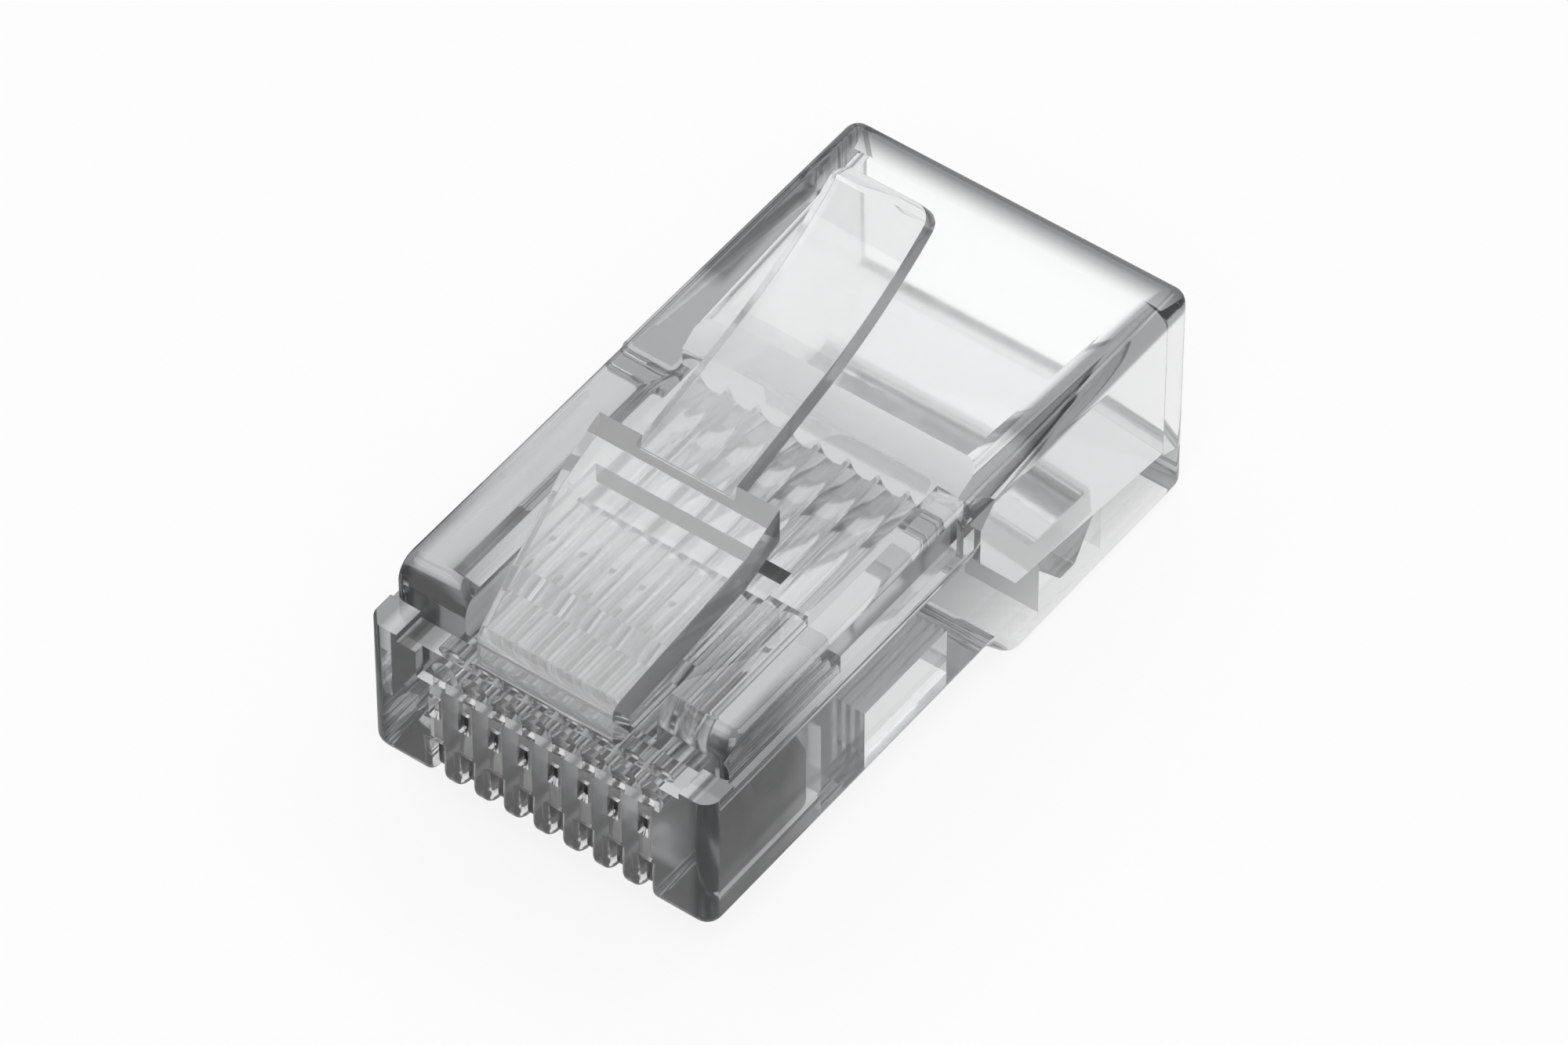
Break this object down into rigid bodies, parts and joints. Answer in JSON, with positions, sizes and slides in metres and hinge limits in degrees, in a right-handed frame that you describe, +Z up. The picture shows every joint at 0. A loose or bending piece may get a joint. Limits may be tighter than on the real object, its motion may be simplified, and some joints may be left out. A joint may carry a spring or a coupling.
{
  "type": "modular plug",
  "caption": "Clear modular plug with a sprung latch, comb of contact blades, guide grooves, hinged jacket bar and an open cable cavity, not yet fitted to a cable",
  "frame": {"origin": "under the middle of the body, on the plane that the underside of the cable end stands on", "axes": "+X to the right seen from the nose, +Y from the nose to the cable entry, +Z up on the latch side"},
  "size_m": [0.0116, 0.0226, 0.0139],
  "materials": {
    "clear_plastic": "clear moulded polycarbonate",
    "contact_metal": "plated stamped metal"
  },
  "bodies": {
    "body": {"housing": "clear_plastic"},
    "lever": {"latch": "clear_plastic"},
    "bar": {"jacket_bar": "clear_plastic"},
    "blades": {"contact_1": "contact_metal", "contact_2": "contact_metal", "contact_3": "contact_metal", "contact_4": "contact_metal", "contact_5": "contact_metal", "contact_6": "contact_metal", "contact_7": "contact_metal", "contact_8": "contact_metal"}
  },
  "joints": [
    {"name": "latch_flex", "type": "hinge", "parent": "body", "child": "lever", "pos_m": [0, -0.01054, 0.00671], "axis": [1, 0, 0], "range_deg": [-12, 0], "stiffness_Nm_per_rad": 0.15},
    {"name": "jacket_bar_press", "type": "hinge", "parent": "body", "child": "bar", "pos_m": [0, 0.0076, 0.00195], "axis": [1, 0, 0], "range_deg": [-30, 0]},
    {"name": "contact_press", "type": "slide", "parent": "body", "child": "blades", "axis": [0, 0, 1], "range_m": [0, 0.0006]}
  ]
}
